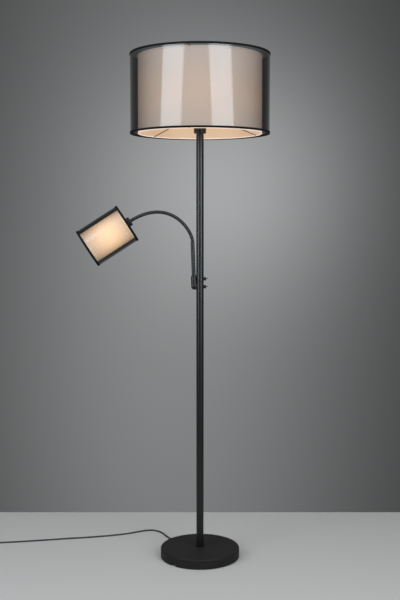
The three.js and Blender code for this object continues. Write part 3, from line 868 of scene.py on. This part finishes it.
def make_elbow():
    """The cast elbow: a barrel that stands beside the pole, and a rounded foot that turns into it."""
    low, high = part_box("arm_elbow")
    radius, buried = 8.7 * MM, -4 * MM
    foot = arm_point(low.z + radius)
    top = arm_point(high.z) - ARM_AXIS * 0.1 * MM
    bm = bmesh.new()
    add_tube(bm, [foot, top], radius, 48)
    ball = bmesh.ops.create_uvsphere(bm, u_segments=48, v_segments=24, radius=radius)
    bmesh.ops.translate(bm, verts=ball["verts"], vec=foot)
    add_tube(bm, [foot, Vector((buried, 0, foot.z))], radius, 48)
    elbow = finish_mesh("elbow_casting", bm, LACQUER, None, sharp=180)
    remesh = elbow.modifiers.new("cast", "REMESH")
    remesh.mode = "VOXEL"
    remesh.voxel_size = 0.55 * MM
    soften = elbow.modifiers.new("soften", "SMOOTH")
    soften.factor = 0.5
    soften.iterations = 5
    bake(elbow)
    above, below = Vector((0, 0, high.z + radius)), Vector((0, 0, low.z - radius))
    pole_room = plain_cylinder("pole_room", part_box("pole_middle")[1].x + GAP, below, above)
    bore = SLEEVE_CENTRE - ARM_AXIS * (SLEEVE_LENGTH / 2 + GAP)
    socket = plain_cylinder("socket", SLEEVE_RADIUS + GAP, bore, bore + ARM_AXIS * SLEEVE_LENGTH / 2)
    carve(elbow, [pole_room, socket])
    elbow.data.shade_smooth()
    elbow.data.set_sharp_from_angle(angle=math.radians(50))
    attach(elbow, "stand")
    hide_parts("arm_elbow")


def make_arm():
    """The sleeve that carries the neck, and the collar that clamps it on the elbow."""
    half, bore = SLEEVE_LENGTH / 2, 4.3 * MM
    outline = ring_outline(SLEEVE_RADIUS, bore, -half, half, 0.5 * MM)
    matrix = frame_along(SLEEVE_CENTRE, ARM_AXIS)
    lathe("neck_sleeve", "arm_sleeve", outline, LACQUER, "arm", "pole_paint", 48, matrix)
    half, outer = 2.3 * MM, 7.2 * MM
    outline = ring_outline(outer, SLEEVE_RADIUS + GAP, -half, half, 0.6 * MM)
    matrix = frame_along(centre("arm_collar"), ARM_AXIS)
    lathe("sleeve_collar", "arm_collar", outline, LACQUER, "stand", "pole_paint", 48, matrix)


make_elbow()
make_arm()

# ---- Reading light's frame ----

HEAD_AXIS = (centre("head_trim_front") - centre("head_trim_back")).normalized()
HEAD_LENGTH = (centre("head_trim_front") - centre("head_trim_back")).length + HEAD_TRIM
HEAD_ORIGIN = centre("head_shade_outer") - HEAD_AXIS * HEAD_LENGTH / 2
HEAD_FRAME = frame_along(HEAD_ORIGIN, HEAD_AXIS)

# ---- Flexible neck ----


def neck_line(count):
    """Points along the neck's curve at equal steps of its length, and that length."""
    start = SLEEVE_CENTRE + ARM_AXIS * SLEEVE_LENGTH / 2
    end = HEAD_ORIGIN - HEAD_AXIS * NECK_END
    rise = start + ARM_AXIS * NECK_RISE
    reach = end - HEAD_AXIS * NECK_REACH
    fine = []
    for i in range(4 * count + 1):
        t = i / (4 * count)
        near_sleeve = start * (1 - t) ** 3 + rise * 3 * t * (1 - t) ** 2
        fine.append(near_sleeve + reach * 3 * t * t * (1 - t) + end * t ** 3)
    travelled = [0.0]
    for a, b in zip(fine, fine[1:]):
        travelled.append(travelled[-1] + (b - a).length)
    length = travelled[-1]
    points = []
    place = 0
    for i in range(count + 1):
        wanted = length * i / count
        while place < len(fine) - 2 and travelled[place + 1] < wanted:
            place += 1
        share = (wanted - travelled[place]) / (travelled[place + 1] - travelled[place])
        points.append(fine[place].lerp(fine[place + 1], share))
    return points, length


def make_neck():
    """A spirally wound steel tube, cut into one stretch for each of its bending points."""
    stretches = 5
    steps = 128  # rings on each stretch
    pitch, depth, half_groove = 2.6 * MM, 0.3 * MM, 0.22  # the winding's groove; its half width is in turns
    sides = 28
    points, length = neck_line(stretches * steps)
    across = HEAD_AXIS.cross(ARM_AXIS).normalized()
    for stretch in range(stretches):
        bm = bmesh.new()
        rings = []
        for i in range(stretch * steps, (stretch + 1) * steps + 1):
            before = points[max(i - 1, 0)]
            after = points[min(i + 1, len(points) - 1)]
            outward = (after - before).normalized().cross(across)
            ring = []
            for k in range(sides):
                angle = TURN * k / sides
                turn = (i * length / (stretches * steps) / pitch - k / sides) % 1.0
                reach = NECK_RADIUS - depth * smooth_step(max(0.0, 1 - abs(turn - 0.5) / half_groove))
                spoke = outward * math.cos(angle) + across * math.sin(angle)
                ring.append(bm.verts.new(points[i] + spoke * reach))
            rings.append(ring)
        join_rings(bm, rings)
        piece = finish_mesh(f"neck_stretch_{stretch + 1}", bm, NECK_LACQUER, None, sharp=80)
        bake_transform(piece)
        links = [f"neck_link_{stretch + 1}"]
        if stretch == stretches - 1:
            links.append(f"neck_link_{stretches + 1}")
        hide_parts(*links)


make_neck()

# ---- Lamp holders and bulbs ----


def thread_outline(radius, start, end, pitch, depth):
    """The outside of a moulded or rolled thread, as rings, from start to end."""
    points = []
    steps = 6  # on each turn
    count = round((end - start) / pitch) * steps
    for i in range(count):
        wave = 0.5 + 0.5 * math.cos(TURN * i / steps)
        points.append((radius - depth * wave, start + (end - start) * i / count))
    return points


def cup_outline(radius, bottom, top):
    """A cup with a hole in its floor for the threaded nipple."""
    skin, hole = 1.2 * MM, 5.3 * MM
    floor = bottom + skin
    outline = [(hole, bottom), (radius, bottom), (radius, top), (radius - skin, top)]
    return outline + [(radius - skin, floor), (hole, floor), (hole, bottom)]


def insert_outline(radius, bore, rim, heights, depth):
    """The inside of a lamp holder: a bore with a floor, and a thread outside, depth deep. heights are those
    of its foot, the bore's floor, the thread's start and the top."""
    root, seat, thread, top = heights
    outline = [(0, root), (radius, root), (radius, thread)]
    outline += thread_outline(radius, thread, top - 1 * MM, 2.2 * MM, depth)
    return outline + [(rim, top), (bore, top), (bore, seat), (0, seat)]


def bulb_outline(neck, radius, start, middle):
    """From the cap's rim, a flared neck that runs smoothly into a ball."""
    meet = math.radians(-38)
    joined = (radius * math.cos(meet), middle + radius * math.sin(meet))
    steps = 8
    points = [(0, start), (neck, start)]
    for i in range(1, steps):
        t = i / steps
        x = neck + (joined[0] - neck) * smooth_step(t) ** 0.9
        points.append((x, start + (joined[1] - start) * t))
    return points + arc(0, middle, radius, meet, TURN / 4, 20)


def make_main_holder():
    low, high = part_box("holder_cup")
    skin = rounded(cup_outline(high.x, low.z, high.z), 1.2 * MM)
    lathe("holder_casing", "holder_cup", skin, LACQUER, "stand", "pole_paint", 64)

    low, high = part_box("holder_barrel")
    radius, bore, rim = 16.4 * MM, 13.5 * MM, 15.6 * MM
    seat, thread = 1.3135, 1.3225  # heights of the bore's floor and of the thread's first turn
    outline = insert_outline(radius, bore, rim, (low.z, seat, thread, high.z), 0.7 * MM)
    lathe("holder_insert", "holder_barrel", outline, PLASTIC, "stand", "black_plastic", 64)

    low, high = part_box("holder_ring")
    outline = ring_outline(22 * MM, 16.7 * MM, low.z, high.z, 0.8 * MM)
    ribs = grip_ribs(24, 0.8 * MM, 20 * MM)
    lathe("shade_clamp", "holder_ring", outline, PLASTIC, "stand", "black_plastic", 144, None, ribs, 60)


def make_head_holder():
    body = "reading_head"
    skin = rounded(cup_outline(13.5 * MM, -10.5 * MM, -0.5 * MM), 1.5 * MM)
    lathe("head_casing", "head_cap", skin, LACQUER, body, "pole_paint", 64, HEAD_FRAME)

    radius, bore, rim = 11.8 * MM, 7.2 * MM, 11.2 * MM
    root, seat, thread, top = -6 * MM, 4 * MM, 2 * MM, 26 * MM
    outline = insert_outline(radius, bore, rim, (root, seat, thread, top), 0.6 * MM)
    lathe("head_insert", "head_holder", outline, PLASTIC, body, "black_plastic", 64, HEAD_FRAME)

    outline = ring_outline(19 * MM, 12.1 * MM, 3.6 * MM, 9.6 * MM, 0.8 * MM)
    ribs = grip_ribs(20, 0.7 * MM, 17 * MM)
    lathe("head_clamp", "head_ring", outline, PLASTIC, body, "black_plastic", 120, HEAD_FRAME, ribs, 60)


def make_bulb(prefix, body, cap_radius, cap_span, glass, matrix=None):
    """cap_span is the cap's start and end along the axis; glass is its neck, radius, start and middle."""
    start, end = cap_span
    contact, button, pitch, depth = 3 * MM, 4.5 * MM, 3.6 * MM, 1 * MM
    outline = [(0, start), (contact, start), (button, start + 1 * MM), (cap_radius - depth, start + 3 * MM)]
    outline += thread_outline(cap_radius, start + 3.2 * MM, end - 3 * MM, pitch, depth)
    outline += [(cap_radius, end - 2.6 * MM), (cap_radius, end), (0, end)]
    names = (f"{prefix}_screw_cap", f"{prefix}_cap")
    lathe(*names, outline, CAP_METAL, body, "bulb_cap_metal", 48, matrix)
    names = (f"{prefix}_envelope", f"{prefix}_glass")
    material = lit_glass(f"{prefix}_glow", BULB_GLOW)
    lathe(*names, bulb_outline(*glass), material, body, "opal_glass", 64, matrix, sharp=60)


def make_bulbs():
    low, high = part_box("bulb_cap")
    glass_low, glass_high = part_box("bulb_glass")
    radius = 30 * MM
    glass = (14 * MM, radius, glass_low.z, glass_high.z - radius)
    make_bulb("bulb", "stand", 13.2 * MM, (low.z, high.z), glass)
    glass = (9 * MM, 22.5 * MM, 27.3 * MM, 58 * MM)
    cap_span = (4.3 * MM, 27 * MM)
    make_bulb("head_bulb", "reading_head", 6.8 * MM, cap_span, glass, HEAD_FRAME)


make_main_holder()
make_bulbs()
make_head_holder()

# ---- Shades ----


def make_frame(name, node_name, body, rings, arms, wire, matrix=None, hub=None):
    """Welded wire: rings as (radius, height), arms as lists of points, and a flat hub as an outline."""
    bm = bmesh.new()
    for radius, height in rings:
        add_wire_ring(bm, radius, height, wire)
    for arm in arms:
        add_tube(bm, arm, ARM_WIRE)
    if hub:
        add_lathe(bm, hub, 64)
    made = finish_mesh(name, bm, WIRE_PAINT, body, matrix, 50)
    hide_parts(node_name)


def arms_between(angles, start, end):
    """Straight wires from start to end, each (radius, height)."""
    return [[polar(start[0], angle, start[1]), polar(end[0], angle, end[1])] for angle in angles]


def roll_edge(name, radius, height, wire, cloth, body):
    """The edge of the inner drum's cloth, rolled over the frame's ring."""
    bm = bmesh.new()
    add_wire_ring(bm, radius, height, wire)
    finish_mesh(name, bm, cloth, body)


def make_drum(name, node_name, radius, span, material, body, matrix=None):
    """One sheet of sheer cloth round the frame, between the two heights of span."""
    rows = 12
    bottom, top = span
    outline = [(radius, bottom + (top - bottom) * i / rows) for i in range(rows + 1)]
    return lathe(name, node_name, outline, material, body, "organza", 128, matrix)


def make_tape(name, node_name, radius, edge, width, inward, material, body, matrix=None):
    """Binding tape folded over the drum's edge. edge is the outer height; inward is +1 or -1, the way to
    the drum's middle."""
    outer, inner, skin = radius, radius - 2.4 * MM, 0.55 * MM
    tip = edge + inward * width
    shoulder, fold = edge + inward * 0.6 * MM, edge + inward * 1.1 * MM
    outline = [(outer, tip), (outer, shoulder), ((outer + inner) / 2, edge), (inner, shoulder), (inner, tip)]
    outline += [(inner + skin, tip), (inner + skin, fold), (outer - skin, fold), (outer - skin, tip)]
    outline.append((outer, tip))
    outline = rounded(outline, 0.4 * MM, 2)
    return lathe(name, node_name, outline, material, body, "trim_tape", 128, matrix, sharp=60)


def make_large_shade():
    body = "stand"
    low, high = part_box("shade_outer")
    inner_low, inner_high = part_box("shade_inner")
    wire = 1.5 * MM
    outer_ring = high.x - 1.2 * MM - wire
    inner_ring = inner_high.x - 0.45 * MM
    ring_height = inner_low.z - wire - GAP
    top_inner, top_outer = inner_high.z + wire + GAP, high.z - 2 * wire
    hub_low, hub_high = 1.3251, 1.3269
    hub = ring_outline(26 * MM, 16.8 * MM, hub_low, hub_high, 0.4 * MM)
    hub_edge = (23 * MM, (hub_low + hub_high) / 2)
    rings = [(outer_ring, ring_height)]
    arms = arms_between(SPIDER, hub_edge, (inner_ring, ring_height))
    arms += arms_between(SPIDER, (inner_ring, ring_height), (outer_ring, ring_height))
    make_frame("spider_lower", "shade_frame_lower", body, rings, arms, wire, None, hub)
    rings = [(outer_ring, top_outer)]
    arms = arms_between(SPIDER, (inner_ring, top_inner), (outer_ring, top_outer))
    make_frame("spider_upper", "shade_frame_upper", body, rings, arms, wire)

    # warm and pale colour the painted glow of the cloth; 0.66 and 0.47 are the painted glow's strengths on
    # the cloth and the lining.
    warm, pale = (1.0, 0.66, 0.43), (1.0, 0.84, 0.77)
    cloth = shade_cloth("shade_cloth_large", inner_high.x, GLOW_HEIGHT, 0.17, 0.66, warm, pale)
    skin = ring_outline(inner_high.x, inner_high.x - 0.9 * MM, inner_low.z, inner_high.z, 0.4 * MM)
    inner = lathe("drum_inner", "shade_inner", skin, cloth, body, "shade_cloth", 128)
    line_inside(inner, shade_lining("lining_large", GLOW_HEIGHT, 0.24, 0.47))
    for end, height in (("lower", ring_height), ("upper", top_inner)):
        roll_edge(f"drum_inner_{end}_edge", inner_ring, height, wire, cloth, body)
    sheer = organza("organza_large", high.x, 0.1, 0.75, 0.61)
    span = (low.z + 1 * MM, high.z - 1 * MM)
    outer = make_drum("drum_outer", "shade_outer", high.x - 0.2 * MM, span, sheer, body)
    tape = tape_cloth("tape_large", high.x)
    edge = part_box("shade_trim_top")[1].x
    top = make_tape("tape_top", "shade_trim_top", edge, high.z, LARGE_TAPE, -1, tape, body)
    bottom = make_tape("tape_bottom", "shade_trim_bottom", edge, low.z, LARGE_TAPE, 1, tape, body)


def make_head_shade():
    body = "reading_head"
    wire = 1.2 * MM
    outer_ring, inner_ring = 56.8 * MM, 46.6 * MM
    back, front = 2.2 * MM, HEAD_LENGTH - 2.2 * MM
    hub = ring_outline(18 * MM, 12.1 * MM, 1.2 * MM, 3.2 * MM, 0.4 * MM)
    rings = [(inner_ring, back), (outer_ring, back)]
    arms = arms_between(HEAD_ARMS, (16 * MM, back), (outer_ring, back))
    make_frame("head_spider", "head_frame_back", body, rings, arms, wire, HEAD_FRAME, hub)
    rings = [(inner_ring, front), (outer_ring, front)]
    arms = arms_between(HEAD_ARMS, (inner_ring, front), (outer_ring, front))
    make_frame("head_front_rings", "head_frame_front", body, rings, arms, wire, HEAD_FRAME)

    # warm and pale colour the painted glow of the cloth; 1.95 and 0.9 are the painted glow's strengths on the
    # cloth and the lining.
    warm, pale = (1.0, 0.63, 0.34), (1.0, 0.70, 0.48)
    cloth = shade_cloth("shade_cloth_small", HEAD_INNER, HEAD_GLOW, 66 * MM, 1.95, warm, pale)
    margin = 3.8 * MM  # how far the inner drum stays behind the shade's two ends
    skin = ring_outline(HEAD_INNER, HEAD_INNER - 0.8 * MM, margin, HEAD_LENGTH - margin, 0.4 * MM)
    names = ("head_drum_inner", "head_shade_inner")
    inner = lathe(*names, skin, cloth, body, "shade_cloth", 96, HEAD_FRAME)
    line_inside(inner, shade_lining("lining_small", HEAD_GLOW, 80 * MM, 0.9))
    sheer = organza("organza_small", HEAD_OUTER, 0.2, 0.55, 0.74)
    span = (1 * MM, HEAD_LENGTH - 1 * MM)
    names = ("head_drum_outer", "head_shade_outer")
    outer = make_drum(*names, HEAD_OUTER - 0.1 * MM, span, sheer, body, HEAD_FRAME)
    tape = tape_cloth("tape_small", HEAD_OUTER)
    for end, edge, inward in (("back", 0.0, 1), ("front", HEAD_LENGTH, -1)):
        names = (f"head_tape_{end}", f"head_trim_{end}")
        make_tape(*names, 60 * MM, edge, HEAD_TAPE, inward, tape, body, HEAD_FRAME)


make_large_shade()
make_head_shade()

# ---- CAD pieces that stay as they are ----


def dress(material, *names):
    for name in names:
        mesh = frame["nodes"][name].data
        mesh.materials.clear()
        mesh.materials.append(material)


dress(FELT, "base_pad")
dress(IRON, "base_weight")
dress(STEEL, "base_nut", "base_nipple", "pole_foot", "pole_joiner_lower", "pole_joiner_upper")
dress(STEEL, "pole_head", "arm_stud", "arm_nut", "holder_nipple")
dress(PVC, "supply_lead")

# ---- Stage and lights ----


def plane(name, corners, material):
    mesh = bpy.data.meshes.new(name)
    mesh.from_pydata(corners, [], [range(len(corners))])
    mesh.materials.append(material)
    add_to_scene(name, mesh)


def light_pool(tree, middle, reach):
    """1 at middle, and fading smoothly to 0. reach is how far it spreads along each axis."""
    place = object_coordinates(tree)
    away = node(tree, "ShaderNodeVectorMath", {0: place, 1: middle}, operation="SUBTRACT").outputs[0]
    share = node(tree, "ShaderNodeVectorMath", {0: away, 1: reach}, operation="DIVIDE").outputs[0]
    square = node(tree, "ShaderNodeVectorMath", {0: share, 1: share}, operation="DOT_PRODUCT")
    return math_node(tree, "EXPONENT", times(tree, square.outputs["Value"], -1.0))


def lit_wall():
    """A backdrop that gives its own light: a wide pool, a narrow one, and a little all over. Its back is
    clear, so that it hides nothing."""
    cool, sockets = (0.965, 0.99, 1.0, 1), {"Specular_IOR_Level": 0.0}
    material, tree, shader = principled("stage_wall", grey(0.0), 1.0, Emission_Color=cool, **sockets)
    wide = times(tree, light_pool(tree, (-0.11, 0, 0.6), (0.67, 1, 1.5)), 0.235)
    narrow = times(tree, light_pool(tree, (0.105, 0, 1.156), (0.40, 1, 0.40)), 0.24)
    light = math_node(tree, "ADD", math_node(tree, "ADD", wide, narrow), 0.035)
    feed(shader, "Emission Strength", light)
    behind = node(tree, "ShaderNodeNewGeometry").outputs["Backfacing"]
    feed(shader, "Alpha", math_node(tree, "SUBTRACT", 1.0, behind))
    return material


def make_stage():
    floor = principled("stage_floor", (0.395, 0.38, 0.363), 0.7)[0]
    reach, tall = 7, 5
    plane("floor", [(-reach, -reach, 0), (reach, -reach, 0), (reach, reach, 0), (-reach, reach, 0)], floor)
    y = WALL_DISTANCE
    plane("wall", [(-reach, y, 0), (reach, y, 0), (reach, y, tall), (-reach, y, tall)], lit_wall())


def area_light(name, width, tall, power):
    data = bpy.data.lights.new(name, "AREA")
    data.shape = "RECTANGLE"
    data.size = width
    data.size_y = tall
    data.energy = power
    return add_to_scene(name, data)


def softbox(name, azimuth, distance, bottom, width, tall, lean, power):
    """An upright panel that faces the lamp. azimuth is from the front, positive to the right; lean rolls its
    top sideways."""
    light = area_light(name, width, tall, power)
    light.data.color = (0.84, 0.92, 1.0)
    turn = math.radians(azimuth)
    outward = Vector((math.sin(turn), -math.cos(turn), 0))
    light.location = outward * distance + Vector((0, 0, bottom + tall / 2))
    roll = Matrix.Rotation(lean, 3, "Z").to_quaternion()
    light.rotation_euler = ((-outward).to_track_quat("-Z", "Y") @ roll).to_euler()


def make_lights():
    distance, bottom, tall, lean = 1.9, 0.55, 1.85, math.radians(28)
    softbox("softbox_left", -46, distance, bottom, 1.02, tall, -lean, 43)
    softbox("softbox_right", 35.5, distance, bottom, 1.05, tall, lean, 45)
    area_light("overhead", 3, 3, 62).location = (0, -0.6, 3.4)
    world = bpy.data.worlds.new("studio")
    world.use_nodes = True
    background = world.node_tree.nodes["Background"]
    background.inputs["Color"].default_value = (0.5, 0.5, 0.5, 1)
    background.inputs["Strength"].default_value = 0.2
    bpy.context.scene.world = world


make_stage()
make_lights()
